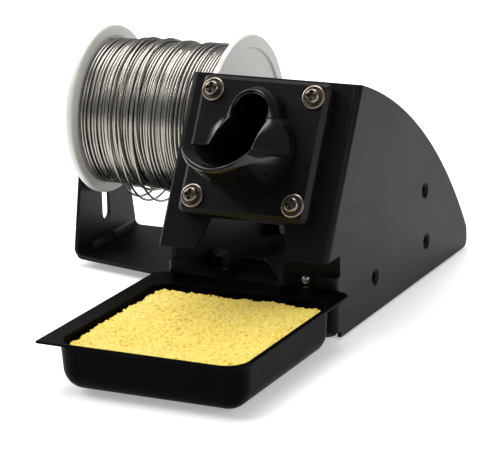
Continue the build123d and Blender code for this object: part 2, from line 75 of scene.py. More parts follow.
# What counts as a sharp edge of a CAD node, and how near its loose seams lie, in metres.
SHARP_DEGREES = 35.0
WELD_REACH = 0.000002


def at(x, y, z):
    """A place given in millimetres from the body's origin, as metres in the row frame."""
    return (Vector((x, y, z)) + BODY_ORIGIN) * MM


def on_plate(u, v, h):
    """A place u across and v up the sloping face, h in front of the holder plate."""
    up = Vector((0.0, math.sin(FACE_LEAN), math.cos(FACE_LEAN)))
    out = Vector((0.0, -math.cos(FACE_LEAN), math.sin(FACE_LEAN)))
    place = FACE_FOOT + Vector((u, 0.0, 0.0)) + up * v + out * (h + PLATE_THICK)
    return at(*place)


def round_axle(x, radius, angle, drop=0.0):
    """A place at a radius and an angle from the top round the spool's axle."""
    return at(x, AXLE_Y + radius * math.sin(angle), AXLE_Z + radius * math.cos(angle) - drop)


# ---------------------------------------------------------------- finishes


class Value:
    """A shader socket that takes part in sums; every sum adds its Math node."""

    def __init__(self, finish, socket):
        self.finish = finish
        self.socket = socket

    def math(self, operation, first, second):
        return self.finish.add("ShaderNodeMath", {"operation": operation}, {0: first, 1: second})

    def __add__(self, other):
        return self.math("ADD", self, other)

    def __radd__(self, other):
        return self.math("ADD", other, self)

    def __sub__(self, other):
        return self.math("SUBTRACT", self, other)

    def __rsub__(self, other):
        return self.math("SUBTRACT", other, self)

    def __mul__(self, other):
        return self.math("MULTIPLY", self, other)

    def __rmul__(self, other):
        return self.math("MULTIPLY", other, self)


class Finish:
    """The nodes of one surface finish."""

    def __init__(self, name):
        self.material = bpy.data.materials.new(name)
        self.material.use_nodes = True
        self.tree = self.material.node_tree
        self.tree.nodes.clear()
        self.place = self.add("ShaderNodeTexCoord", output="Object")

    def add(self, kind, settings=None, inputs=None, output=0):
        """Adds a node, sets it up, fills or links its sockets and returns one output."""
        node = self.tree.nodes.new(kind)
        for key, value in (settings or {}).items():
            setattr(node, key, value)
        for key, value in (inputs or {}).items():
            if isinstance(value, Value):
                self.tree.links.new(value.socket, node.inputs[key])
            else:
                node.inputs[key].default_value = value
        if not node.outputs:
            return None
        return Value(self, node.outputs[output])

    def stretched(self, scale):
        """The object's own coordinates, stretched along its axes."""
        return self.add("ShaderNodeVectorMath", {"operation": "MULTIPLY"}, {0: self.place, 1: scale})

    def grain(self, per_metre, detail=3.0, rough=0.55, place=None):
        """Cloudy noise from 0 to 1."""
        inputs = {"Vector": place or self.place, "Scale": per_metre}
        inputs.update({"Detail": detail, "Roughness": rough})
        return self.add("ShaderNodeTexNoise", {}, inputs)

    def cells(self, per_metre):
        """The distance to the nearest point of a scattered set."""
        inputs = {"Vector": self.place, "Scale": per_metre}
        return self.add("ShaderNodeTexVoronoi", {"feature": "F1"}, inputs, "Distance")

    def between(self, value, low, high):
        """0 below low, 1 above high, and smooth in between."""
        inputs = {"Value": value, "From Min": low, "From Max": high}
        return self.add("ShaderNodeMapRange", {"interpolation_type": "SMOOTHSTEP"}, inputs)

    def edges(self, radius):
        """1 on sharp edges and 0 on flat faces."""
        soft = self.add("ShaderNodeBevel", {"samples": 4}, {"Radius": radius}, "Normal")
        flat = self.add("ShaderNodeNewGeometry", output="Normal")
        both = {0: soft, 1: flat}
        match = self.add("ShaderNodeVectorMath", {"operation": "DOT_PRODUCT"}, both, "Value")
        return self.between(1 - match, 0.02, 0.22)

    def mix(self, factor, first, second):
        """A colour between two colours."""
        inputs = {0: factor, 6: first, 7: second}
        return self.add("ShaderNodeMix", {"data_type": "RGBA"}, inputs, 2)

    def bump(self, height, distance, strength=1.0):
        """A bumped normal; the distance is in metres."""
        inputs = {"Height": height, "Distance": distance, "Strength": strength}
        return self.add("ShaderNodeBump", {}, inputs)

    def surface(self, inputs):
        """Ends the finish with its shader and returns the material."""
        shader = self.add("ShaderNodeBsdfPrincipled", {}, inputs)
        self.add("ShaderNodeOutputMaterial", {}, {"Surface": shader})
        return self.material


def tint(colour, factor):
    """A colour made lighter or darker, with its alpha."""
    return tuple(min(1.0, part * factor) for part in colour[:3]) + (1.0,)


def painted_sheet(name, colour, gloss, specular, peel=1.0):
    """Baked black paint on steel: orange peel, faint dust, and lighter edges that are partly worn paint
    and partly a painted highlight.
    """
    make = Finish(name)
    clouds = make.grain(28.0, 4.0)
    peel_height = make.grain(950.0, 2.0, 0.5) * 0.7 + make.grain(3600.0, 2.0) * 0.3
    dust = make.between(make.grain(2600.0, 2.0, 0.7), 0.66, 0.80) * make.between(clouds, 0.35, 0.7)
    edge_wear_and_highlight = make.edges(0.00045) * make.between(make.grain(260.0, 4.0, 0.6), 0.36, 0.62)
    base = make.mix(clouds, tint(colour, 0.75), tint(colour, 1.30))
    base = make.mix(dust * 0.07, base, (0.12, 0.12, 0.12, 1.0))
    # Lighter paint on the edges: partly worn paint, partly a painted highlight.
    base = make.mix(edge_wear_and_highlight * 0.30, base, (0.085, 0.084, 0.082, 1.0))
    scuff = make.between(make.grain(120.0, 6.0, 0.7, make.stretched((1.0, 0.22, 1.0))), 0.5, 0.75)
    return make.surface({
        "Base Color": base,
        "Roughness": gloss + clouds * 0.10 + scuff * 0.05 + dust * 0.15 - edge_wear_and_highlight * 0.06,
        "Specular IOR Level": specular,
        "Normal": make.bump(peel_height, 0.00006 * peel, 0.55),
    })


def moulded_black(name, colour, gloss, specular, texture, rim=0.4):
    """Black moulded plastic with a fine spark-eroded texture and, where asked, glossy rims with a
    painted highlight.
    """
    make = Finish(name)
    clouds = make.grain(45.0, 3.0)
    fine = make.cells(2300.0) * 0.5 + make.grain(5200.0, 2.0) * 0.5
    edge_wear_and_highlight = make.edges(0.0005) * make.between(make.grain(300.0, 3.0), 0.4, 0.65)
    smear = make.between(make.grain(70.0, 5.0, 0.65, make.stretched((1.0, 0.5, 0.3))), 0.45, 0.7)
    base = make.mix(clouds, tint(colour, 0.8), tint(colour, 1.25))
    # Lighter plastic on the edges, scaled by rim: a little wear and a painted highlight on the rims.
    base = make.mix(edge_wear_and_highlight * rim, base, (0.085, 0.085, 0.083, 1.0))
    return make.surface({
        "Base Color": base,
        "Roughness": gloss + clouds * 0.06 + smear * 0.07 - edge_wear_and_highlight * 0.12 * rim,
        "Specular IOR Level": specular,
        "Normal": make.bump(fine, 0.00005 * texture, 0.5),
    })


def plated_metal(name, colour, gloss, warm):
    """Plated steel: turned scratches, a faint stain, a painted highlight on its edges and painted shade
    in its recesses.
    """
    make = Finish(name)
    clouds = make.grain(380.0, 4.0)
    scratches = make.grain(900.0, 5.0, 0.7, make.stretched((1.0, 7.0, 1.6)))
    edge_wear_and_highlight = make.edges(0.0002)
    base = make.mix(clouds, tint(colour, 0.82), warm)
    # Brighter plating on the edges: a painted highlight.
    base = make.mix(edge_wear_and_highlight * 0.5, base, tint(colour, 1.25))
    stain = make.between(make.grain(700.0, 3.0), 0.55, 0.75)
    base = make.mix(stain * 0.22, base, tint(colour, 0.35))
    # Painted shade: recesses that the AO finds, such as the screws' cross slots, turn near-black, dull
    # and less metallic.
    open_air = make.add("ShaderNodeAmbientOcclusion", {"samples": 6}, {"Distance": 0.0014}, "AO")
    recess_shade = 1 - make.between(open_air, 0.30, 0.85)
    base = make.mix(recess_shade, base, (0.004, 0.004, 0.004, 1.0))
    return make.surface({
        "Base Color": base,
        "Metallic": 1.0 - recess_shade * 0.9,
        "Roughness": gloss + scratches * 0.12 + stain * 0.15 + recess_shade * 0.4,
        "Normal": make.bump(scratches, 0.00003, 0.5),
    })


def solder_metal(name, colour):
    """Drawn tin alloy wire: soft grey shine, dull patches, and painted shade where turns lie close
    together.
    """
    make = Finish(name)
    clouds = make.grain(60.0, 2.0)
    dull = make.between(make.grain(70.0, 2.0, 0.4, make.stretched((6.0, 1.0, 1.0))), 0.45, 0.75)
    drawn = make.grain(300.0, 1.0, 0.4, make.stretched((6.0, 1.0, 1.0)))
    # Painted shade: where the AO finds turns close together, the wire turns near-black.
    open_air = make.add("ShaderNodeAmbientOcclusion", {"samples": 24}, {"Distance": 0.0016}, "AO")
    shade_between_turns = 1 - make.between(open_air, 0.15, 0.75)
    base = make.mix(clouds, tint(colour, 0.88), tint(colour, 1.08))
    base = make.mix(dull * 0.30, base, tint(colour, 0.60))
    base = make.mix(shade_between_turns, base, tint(colour, 0.03))
    return make.surface({
        "Base Color": base,
        "Metallic": 0.97 - dull * 0.06,
        "Roughness": 0.25 + dull * 0.08 + drawn * 0.03 + shade_between_turns * 0.2,
        "Normal": make.bump(drawn, 0.000003, 0.3),
    })


def moulded_white(name, colour):
    """Warm white polystyrene: flow clouds, small scuffs and a soft gloss."""
    make = Finish(name)
    clouds = make.grain(36.0, 4.0)
    scuff = make.between(make.grain(210.0, 6.0, 0.7, make.stretched((0.6, 1.0, 0.25))), 0.58, 0.76)
    fine = make.grain(1500.0, 3.0)
    edge_wear_and_highlight = make.edges(0.0006) * make.between(make.grain(240.0, 3.0), 0.4, 0.6)
    base = make.mix(clouds, tint(colour, 0.93), tint(colour, 1.04))
    base = make.mix(scuff * 0.25, base, tint(colour, 0.72))
    # Lighter on the edges: a little wear and a painted highlight.
    base = make.mix(edge_wear_and_highlight * 0.2, base, tint(colour, 1.12))
    return make.surface({
        "Base Color": base,
        "Roughness": 0.36 + clouds * 0.10 + scuff * 0.18,
        "Subsurface Weight": 0.06,
        "Subsurface Radius": (0.002, 0.0018, 0.0014),
        "Normal": make.bump(fine, 0.00003, 0.4),
    })


def cellulose(name, colour):
    """Yellow cellulose foam: small pores, pale fibres partly as a painted highlight, and deeper yellow
    hollows as painted shade.
    """
    make = Finish(name)
    warp = make.grain(420.0, 3.0)
    pores = make.between(make.cells(520.0) + warp * 0.35, 0.28, 0.62)
    pin = make.between(make.cells(1500.0), 0.12, 0.42)
    clouds = make.grain(55.0, 4.0)
    fibre = make.grain(2400.0, 4.0, 0.7)
    deep = (colour[0] * 0.82, colour[1] * 0.66, colour[2] * 0.16, 1.0)
    pale = (min(1.0, colour[0] * 1.08), min(1.0, colour[1] * 1.10), colour[2] * 2.1, 1.0)
    # Deeper yellow in the pores: a painted shade in the hollows.
    base = make.mix(pores, deep, tint(colour, 1.0))
    # Paler patches and fibres: partly the foam's own tone, partly a painted highlight on its bumps.
    base = make.mix(make.between(clouds, 0.45, 0.7) * 0.3, base, pale)
    base = make.mix(make.between(fibre, 0.50, 0.66) * 0.7, base, pale)
    base = make.mix(make.between(make.grain(1500.0, 3.0), 0.52, 0.64) * 0.55, base, deep)
    # Deeper yellow where the AO finds a hollow: a painted shade.
    open_air = make.add("ShaderNodeAmbientOcclusion", {"samples": 6}, {"Distance": 0.0022}, "AO")
    base = make.mix(1 - make.between(open_air, 0.25, 0.80), base, deep)
    height = pores * 0.45 + pin * 0.25 + fibre * 0.30
    return make.surface({
        "Base Color": base,
        "Roughness": 0.90 - fibre * 0.20,
        "Subsurface Weight": 0.12,
        "Subsurface Radius": (0.0014, 0.0011, 0.0004),
        "Specular IOR Level": 0.25,
        "Normal": make.bump(height, 0.0005, 0.8),
    })


def rubber(name):
    """Dull black rubber with a chalky bloom."""
    make = Finish(name)
    bloom = make.between(make.grain(340.0, 4.0), 0.45, 0.75)
    fine = make.grain(2800.0, 3.0)
    return make.surface({
        "Base Color": make.mix(bloom * 0.3, (0.018, 0.018, 0.019, 1.0), (0.09, 0.09, 0.088, 1.0)),
        "Roughness": 0.78 + bloom * 0.12,
        "Normal": make.bump(fine, 0.00008, 0.6),
    })


def finish(name):
    """One of the stand's finishes, made when it is first asked for."""
    known = bpy.data.materials.get("finish_" + name)
    if known:
        return known
    tones = bpy.context.scene.stand_tones
    full = "finish_" + name
    makers = {
        "body_paint": lambda: painted_sheet(full, tones.paint, 0.36, 0.095),
        "bracket_paint": lambda: painted_sheet(full, tones.paint, 0.36, 0.12),
        "tray_paint": lambda: painted_sheet(full, tones.tray, 0.30, 0.02, 0.6),
        "plate_plastic": lambda: moulded_black(full, tones.plastic, 0.38, 0.16, 1.0),
        # The last 1.0 gives the funnel's rims the full painted highlight.
        "funnel_plastic": lambda: moulded_black(full, tones.plastic, 0.16, 0.34, 0.25, 1.0),
        "zinc": lambda: plated_metal(full, tones.steel, 0.26, tint(tones.steel, 1.1)),
        "nickel": lambda: plated_metal(full, tones.nickel, 0.24, tint(tones.nickel, 1.1)),
        # Painted shade: the holder's screws get a darker copy of the same nickel plating as their
        # washers.
        "shaded_nickel": lambda: plated_metal(full, tint(tones.nickel, 0.6), 0.2, tint(tones.nickel, 0.7)),
        "black_oxide": lambda: plated_metal(full, tones.oxide, 0.38, tint(tones.oxide, 1.4)),
        "wire": lambda: solder_metal(full, tones.solder),
        "shaded_wire": lambda: solder_metal(full, tint(tones.solder, 0.10)),
        "spool_plastic": lambda: moulded_white(full, tones.spool),
        "sponge": lambda: cellulose(full, tones.sponge),
        "rubber": lambda: rubber(full),
    }
    return makers[name]()


# ---------------------------------------------------------------- mesh helpers


def settle(piece, body, slot, finish_name, *nodes):
    """Gives a piece its finish and its body, and hides the CAD nodes that it stands for."""
    piece.data.materials.append(finish(finish_name))
    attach(piece, body)
    if nodes:
        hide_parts(*nodes)


def mesh_piece(name, bm):
    """An object from a bmesh, its faces pointing outwards."""
    bmesh.ops.recalc_face_normals(bm, faces=bm.faces)
    mesh = bpy.data.meshes.new(name)
    bm.to_mesh(mesh)
    bm.free()
    for face in mesh.polygons:
        face.use_smooth = True
    piece = bpy.data.objects.new(name, mesh)
    bpy.context.scene.collection.objects.link(piece)
    return piece


def bridge(bm, first, second):
    """Quads between two closed rows of vertices of the same count."""
    count = len(first)
    for i in range(count):
        j = (i + 1) % count
        bm.faces.new((first[i], first[j], second[j], second[i]))


def loft(name, *rings):
    """One mesh of closed rings of loops, the last loop of each joined to its first."""
    bm = bmesh.new()
    for loops in rings:
        rows = [[bm.verts.new(point) for point in loop] for loop in loops]
        for row, following in zip(rows, rows[1:] + rows[:1]):
            bridge(bm, row, following)
    return mesh_piece(name, bm)


def ring_rows(profile, place, steps):
    """Loops of a closed profile of (along, radius) turned through the places of a function."""
    rows = []
    for step in range(steps):
        angle = 2.0 * math.pi * step / steps
        rows.append([place(along, radius, angle) for along, radius in profile])
    return rows


def turned(name, profile, steps=160):
    """A closed profile of (x, radius) turned round the spool's axle."""
    return loft(name, ring_rows(profile, round_axle, steps))


def rounded(points, radii, steps=5):
    """A closed polygon with its corners rounded, each by its own radius."""
    result = []
    count = len(points)
    for i, (corner, radius) in enumerate(zip(points, radii)):
        here = Vector(corner)
        before = Vector(points[i - 1]) - here
        after = Vector(points[(i + 1) % count]) - here
        if radius == 0.0:
            result.append(tuple(here))
            continue
        half = before.angle(after) / 2.0
        reach = radius / math.tan(half)
        start = here + before.normalized() * reach
        end = here + after.normalized() * reach
        for k in range(steps + 1):
            t = k / steps
            inner = start * (1 - t) ** 2 + here * 2 * t * (1 - t) + end * t ** 2
            result.append(tuple(inner))
    return result


def softened(piece, width):
    """Welds a CAD mesh's seams and rounds its sharp edges a little."""
    weld = piece.modifiers.new("weld", "WELD")
    weld.merge_threshold = WELD_REACH
    bevel = piece.modifiers.new("soft_edges", "BEVEL")
    bevel.width = width
    bevel.segments = 2
    bevel.limit_method = "ANGLE"
    bevel.angle_limit = math.radians(SHARP_DEGREES)
    bevel.harden_normals = True


def dress(node, finish_name):
    """Puts a finish in every material slot of a CAD node."""
    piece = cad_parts[node]
    for slot in piece.material_slots:
        slot.material = finish(finish_name)


# ---------------------------------------------------------------- funnel shape

# Each row follows the funnel's right half from its lowest point to the top of the upper lobe,
# as (across, up, out) from the holder plate's front, in millimetres. Rows match point by point.
FUNNEL_RIM = [
    (0, 21.9, 31.9), (7.6, 24, 31.9), (12.7, 28.5, 30.6), (10.5, 31.8, 25), (8.6, 32.6, 20),
    (8.2, 36, 17.7), (8.0, 39.6, 15.4), (7.7, 43.5, 12), (7.4, 46.6, 9.2), (7.3, 49.6, 9.2),
    (6.6, 52.6, 9.3), (4.3, 55.6, 9.3), (0, 56.9, 9.3),
]
FUNNEL_ROOF_EDGE = [
    (0, 20, 31.2), (8.4, 22.2, 30.5), (13.6, 27, 25), (15.8, 31.8, 16.1), (16.3, 33.8, 8.5),
    (16.5, 36.5, 5), (15.9, 41.5, 5.2), (13.5, 45.8, 5), (10.7, 48.6, 4.5), (9.8, 52, 4.5),
    (7.8, 55.4, 4.5), (4.5, 58.2, 4.5), (0, 59.8, 4.5),
]
FUNNEL_LEDGE = [
    (0, 23.4, 27.2), (6.4, 25.3, 27.2), (10.9, 29.2, 26.4), (9.9, 32.2, 22.4), (8.8, 33.6, 18.4),
    (8.4, 36.3, 16), (8.0, 39.8, 13.6), (7.3, 43.3, 10.4), (6.6, 46, 7.9), (7.1, 49, 7.9),
    (6.7, 52.1, 7.9), (4.4, 55.4, 7.9), (0, 56.8, 7.9),
]
FUNNEL_THROAT = [
    (0, 26.6, 17), (4.7, 27.7, 17), (8.1, 31, 17), (8.8, 33.4, 16), (8.8, 34.8, 15),
    (8.7, 37, 13), (7.8, 40.1, 10.4), (6.3, 42.7, 7.4), (5.1, 44.8, 5.4), (6.5, 47.6, 5.4),
    (6.9, 51.2, 5.4), (4.5, 55.1, 5.4), (0, 56.7, 5.4),
]
FUNNEL_CUSP = 8


def keyhole(cup_radius, lobe_radius, depth, cup_v=CUP_V):
    """The right half of two joined circles, matched to the funnel's rows."""
    span = LOBE_V - cup_v
    along = (span ** 2 + cup_radius ** 2 - lobe_radius ** 2) / (2.0 * span)
    side = math.sqrt(cup_radius ** 2 - along ** 2)
    cup_end = math.degrees(math.atan2(side, -along))
    lobe_start = math.degrees(math.atan2(side, along - span))
    row = []
    for share in (0.0, 0.20, 0.40, 0.54, 0.62, 0.70, 0.82, 0.92, 1.0):
        angle = math.radians(cup_end * share)
        row.append((cup_radius * math.sin(angle), cup_v - cup_radius * math.cos(angle), depth))
    for share in (0.72, 0.46, 0.22, 0.0):
        angle = math.radians(lobe_start * share)
        row.append((lobe_radius * math.sin(angle), LOBE_V + lobe_radius * math.cos(angle), depth))
    return row


def whole_loop(half, steps):
    """Mirrors a half row and runs a smooth line through it, with corners at the two cusps."""
    left = [(-u, v, h) for u, v, h in half[-2:0:-1]]
    points = [Vector(p) for p in half + left]
    count = len(points)
    corners = {FUNNEL_CUSP, count - FUNNEL_CUSP}
    loop = []
    for i in range(count):
        a, b = points[i], points[(i + 1) % count]
        before = a * 2 - b if i in corners else points[i - 1]
        after = b * 2 - a if (i + 1) % count in corners else points[(i + 2) % count]
        for k in range(steps):
            t = k / steps
            place = (
                a * 2 + (b - before) * t
                + (before * 2 - a * 5 + b * 4 - after) * t * t
                + (a * 3 - before - b * 3 + after) * t ** 3
            ) * 0.5
            loop.append(place)
    return loop


def towards(loop, other, gap):
    """Each point of a loop moved a gap towards its match in another loop."""
    moved = []
    for point, target in zip(loop, other):
        way = target - point
        reach = min(gap, way.length * 0.45)
        moved.append(point + way.normalized() * reach)
    return moved


# Groups of turns that lie over the last layer: (start, stop, drift per turn, height), the first
# two along the axle in millimetres, the last two in wire diameters.
STRAY_GROUPS = (
    (-77.8, -72.5, 2.4, 2.0), (-66.5, -62.0, 1.5, 2.0), (-57.0, -50.0, 1.9, 2.0),
    (-79.0, -66.0, 6.5, 2.3), (-64.0, -75.0, -5.5, 2.5),
)

# ---------------------------------------------------------------- settings


class StandTones(bpy.types.PropertyGroup):
    """Colours of the stand's finishes."""

    paint: bpy.props.FloatVectorProperty(
        name="Sheet paint", description="Baked paint of the body and the spool bracket",
        size=4, subtype="COLOR", min=0.0, max=1.0, default=(0.0042, 0.0045, 0.0047, 1.0))
    tray: bpy.props.FloatVectorProperty(
        name="Tray paint", description="Paint of the sponge tray",
        size=4, subtype="COLOR", min=0.0, max=1.0, default=(0.00108, 0.0012, 0.0012, 1.0))
    plastic: bpy.props.FloatVectorProperty(
        name="Black plastic", description="Moulding of the holder plate and the funnel",
        size=4, subtype="COLOR", min=0.0, max=1.0, default=(0.0024, 0.0026, 0.0027, 1.0))
    steel: bpy.props.FloatVectorProperty(
        name="Zinc plate", description="Plating of nuts, bolts and washers",
        size=4, subtype="COLOR", min=0.0, max=1.0, default=(0.46, 0.45, 0.43, 1.0))
    nickel: bpy.props.FloatVectorProperty(
        name="Nickel plate", description="Plating of the holder's screws and their washers",
        size=4, subtype="COLOR", min=0.0, max=1.0, default=(0.36, 0.31, 0.25, 1.0))
    oxide: bpy.props.FloatVectorProperty(
        name="Black oxide", description="Blackened nuts and screws inside the body",
        size=4, subtype="COLOR", min=0.0, max=1.0, default=(0.035, 0.035, 0.036, 1.0))
    solder: bpy.props.FloatVectorProperty(
        name="Solder", description="The tin alloy wire",
        size=4, subtype="COLOR", min=0.0, max=1.0, default=(0.40, 0.38, 0.345, 1.0))
    spool: bpy.props.FloatVectorProperty(
        name="Spool plastic", description="The spool's white moulding",
        size=4, subtype="COLOR", min=0.0, max=1.0, default=(0.74, 0.725, 0.69, 1.0))
    sponge: bpy.props.FloatVectorProperty(
        name="Sponge", description="The cellulose sponge",
        size=4, subtype="COLOR", min=0.0, max=1.0, default=(0.83, 0.655, 0.135, 1.0))


class FunnelSizes(bpy.types.PropertyGroup):
    """Sizes of the holder's funnel."""

    bore_radius: bpy.props.FloatProperty(
        name="Lower bore", description="Radius of the large bore",
        default=8.9 * MM, min=0.005, max=0.012, subtype="DISTANCE", unit="LENGTH")
    lobe_radius: bpy.props.FloatProperty(
        name="Upper bore", description="Radius of the small bore in the upper lobe",
        default=7.1 * MM, min=0.004, max=0.010, subtype="DISTANCE", unit="LENGTH")
    edge_round: bpy.props.FloatProperty(
        name="Edge rounding", description="How far the rounding of the rim reaches",
        default=0.6 * MM, min=0.0001, max=0.002, subtype="DISTANCE", unit="LENGTH")
    spigot_depth: bpy.props.FloatProperty(
        name="Spigot", description="How far the funnel goes in behind the plate's front",
        default=8.6 * MM, min=0.001, max=0.02, subtype="DISTANCE", unit="LENGTH")


class SpoolSizes(bpy.types.PropertyGroup):
    """Sizes of the solder spool."""

    flange_radius: bpy.props.FloatProperty(
        name="Flange radius", description="Outside radius of both flanges",
        default=33.8 * MM, min=0.02, max=0.05, subtype="DISTANCE", unit="LENGTH")
    flange_thick: bpy.props.FloatProperty(
        name="Flange thickness", description="Thickness of a flange at its rim",
        default=3.0 * MM, min=0.001, max=0.006, subtype="DISTANCE", unit="LENGTH")
    wire: bpy.props.FloatProperty(
        name="Wire", description="Diameter of the solder wire",
        default=1.12 * MM, min=0.0004, max=0.002, subtype="DISTANCE", unit="LENGTH")
    packed_radius: bpy.props.FloatProperty(
        name="Packed radius", description="Radius under the last full layer of wire",
        default=27.0 * MM, min=0.01, max=0.03, subtype="DISTANCE", unit="LENGTH")
    seed: bpy.props.IntProperty(
        name="Lay", description="Which uneven lay the outer turns have", default=7, min=0)


class SpongeSizes(bpy.types.PropertyGroup):
    """Sizes of the sponge."""

    pore_depth: bpy.props.FloatProperty(
        name="Pore depth", description="Depth of the large pores",
        default=1.15 * MM, min=0.0, max=0.004, subtype="DISTANCE", unit="LENGTH")
    pore_spacing: bpy.props.FloatProperty(
        name="Pore spacing", description="Distance between large pores",
        default=1.9 * MM, min=0.0005, max=0.01, subtype="DISTANCE", unit="LENGTH")
    mesh_step: bpy.props.FloatProperty(
        name="Mesh step", description="Spacing of the sponge's mesh",
        default=0.40 * MM, min=0.0002, max=0.002, subtype="DISTANCE", unit="LENGTH")
    corner: bpy.props.FloatProperty(
        name="Corner radius", description="Radius of the upright corners",
        default=3.4 * MM, min=0.001, max=0.02, subtype="DISTANCE", unit="LENGTH")
    seed: bpy.props.IntProperty(
        name="Pore lay", description="Which lay the pores have; 0 would change it at every run",
        default=3, min=1)


# ---------------------------------------------------------------- operators


class STAND_OT_sheet_parts(bpy.types.Operator):
    """Paint the folded body, its inner plates, the spool bracket and the tray"""

    bl_idname = "iron_stand.sheet_parts"
    bl_label = "Sheet parts"

    def execute(self, context):
        for node in ("body_shell", "base_plate", "inner_plate"):
            dress(node, "body_paint")
        dress("spool_bracket", "bracket_paint")
        dress("sponge_tray", "tray_paint")
        for node in ("rubber_feet", "bracket_foot"):
            dress(node, "rubber")
        for node in ("body_shell", "spool_bracket", "sponge_tray"):
            softened(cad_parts[node], 0.00022)
        return {"FINISHED"}


class STAND_OT_hardware(bpy.types.Operator):
    """Plate the screws, nuts, washers, rivets and the axle"""

    bl_idname = "iron_stand.hardware"
    bl_label = "Hardware"

    def execute(self, context):
        # The screws' darker nickel is a painted shade.
        dress("holder_screws", "shaded_nickel")
        for node in ("bracket_screws", "bracket_washers", "bracket_nuts", "holder_nuts"):
            dress(node, "black_oxide")
        zinc = ("plate_rivets", "axle_bolt", "axle_sleeve", "axle_washers", "axle_wing_nut")
        for node in zinc:
            dress(node, "zinc")
        for node in ("holder_screws", "axle_wing_nut"):
            softened(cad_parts[node], 0.00010)
        return {"FINISHED"}


class STAND_OT_cup_washers(bpy.types.Operator):
    """Turn the four dished washers under the holder's screws"""

    bl_idname = "iron_stand.cup_washers"
    bl_label = "Cup washers"

    def execute(self, context):
        outline = [(0.0, 1.7), (0.0, 4.35), (0.75, 4.35), (0.95, 3.85), (0.28, 3.35), (0.28, 1.7)]
        profile = rounded(outline, [0.0, 0.12, 0.22, 0.18, 0.15, 0.0], 3)
        rings = []
        for u in (-WASHER_U, WASHER_U):
            for v in WASHER_V:
                def place(along, radius, angle, u=u, v=v):
                    across = u + radius * math.sin(angle)
                    return on_plate(across, v + radius * math.cos(angle), along)
                rings.append(ring_rows(profile, place, 48))
        washers = loft("cup_washers", *rings)
        settle(washers, "stand", "nickel_plated", "nickel", "holder_washers")
        return {"FINISHED"}


class STAND_OT_holder(bpy.types.Operator):
    """Loft the holder's funnel and finish its plate and rear tube"""

    bl_idname = "iron_stand.holder"
    bl_label = "Holder"

    def crease(self, edge, rim):
        """The line where the sloping roof turns a little steeper, proud of the straight slope."""
        row = []
        for outer, inner in zip(edge, rim):
            broad = min(1.0, (inner - outer).length / 9.0)
            row.append(outer.lerp(inner, 0.40) + Vector((0.0, 0.0, 0.9 * broad)))
        return row

    def execute(self, context):
        sizes = context.scene.funnel_sizes
        steps = 5
        bore = sizes.bore_radius / MM
        lobe = sizes.lobe_radius / MM
        gap = sizes.edge_round / MM
        deep = sizes.spigot_depth / MM
        hidden = 0.4
        foot = keyhole(17.6, 10.9, 0.0, 36.2)
        rows = {
            "foot": foot,
            "edge": FUNNEL_ROOF_EDGE,
            "rim": FUNNEL_RIM,
            "ledge": FUNNEL_LEDGE,
            "throat": FUNNEL_THROAT,
            "bore": keyhole(bore, lobe, 0.0),
            "bore_end": keyhole(bore, lobe, -deep),
            "spigot_end": keyhole(bore + SPIGOT_WALL, lobe + SPIGOT_WALL, -deep),
            "spigot": keyhole(bore + SPIGOT_WALL, lobe + SPIGOT_WALL, -hidden),
        }
        line = {name: whole_loop(row, steps) for name, row in rows.items()}
        hidden_foot = [Vector((p.x, p.y, -hidden)) for p in line["foot"]]
        step_in = [p + Vector((-p.x * 0.05, (CUP_V - p.y) * 0.05, -0.35)) for p in line["ledge"]]
        loops = [
            hidden_foot,
            line["foot"],
            towards(line["edge"], line["foot"], gap),
            towards(line["edge"], line["rim"], gap),
            self.crease(line["edge"], line["rim"]),
            towards(line["rim"], line["edge"], gap),
            towards(line["rim"], line["ledge"], gap),
            line["ledge"],
            step_in,
            [(a + b) / 2 for a, b in zip(step_in, line["throat"])],
            line["throat"],
            line["bore"],
            line["bore_end"],
            line["spigot_end"],
            line["spigot"],
        ]
        placed = [[on_plate(*point) for point in loop] for loop in loops]
        funnel = loft("funnel_moulding", placed)
        smooth = funnel.modifiers.new("smooth", "SUBSURF")
        smooth.levels = 2
        smooth.render_levels = 2
        settle(funnel, "stand", "black_gloss_moulding", "funnel_plastic", "holder_funnel")
        dress("holder_plate", "plate_plastic")
        dress("holder_rear_tube", "plate_plastic")
        return {"FINISHED"}


class STAND_OT_spool(bpy.types.Operator):
    """Turn the spool's two flanges and finish its core"""

    bl_idname = "iron_stand.spool"
    bl_label = "Spool"

    def flange(self, name, outer_x, way, sizes, *nodes):
        """A dished flange; way is the direction from its outer face towards the wire."""
        rim = sizes.flange_radius / MM
        thick = sizes.flange_thick / MM
        outline = [
            (0.9, 6.1), (0.9, 10.0), (0.25, 10.4), (0.25, 12.4), (0.9, 12.8), (0.9, rim - 5.6),
            (0.0, rim - 5.0), (0.0, rim), (thick, rim), (thick, rim - 4.2), (thick - 0.35, rim - 4.8),
            (thick - 0.35, 13.4), (thick - 0.35, 6.1),
        ]
        radii = [0.3, 0.3, 0.2, 0.2, 0.3, 0.3, 0.3, 1.25, 1.35, 0.3, 0.25, 0.0, 0.3]
        profile = [(outer_x + way * x, radius) for x, radius in rounded(outline, radii)]
        piece = turned(name, profile)
        settle(piece, "spool", "white_plastic", "spool_plastic", *nodes)

    def execute(self, context):
        sizes = context.scene.spool_sizes
        self.flange("left_flange", SPOOL_LEFT, 1.0, sizes, "spool_flange_left")
        self.flange("right_flange", SPOOL_RIGHT, -1.0, sizes, "spool_flange_right")
        dress("spool_core", "spool_plastic")
        return {"FINISHED"}


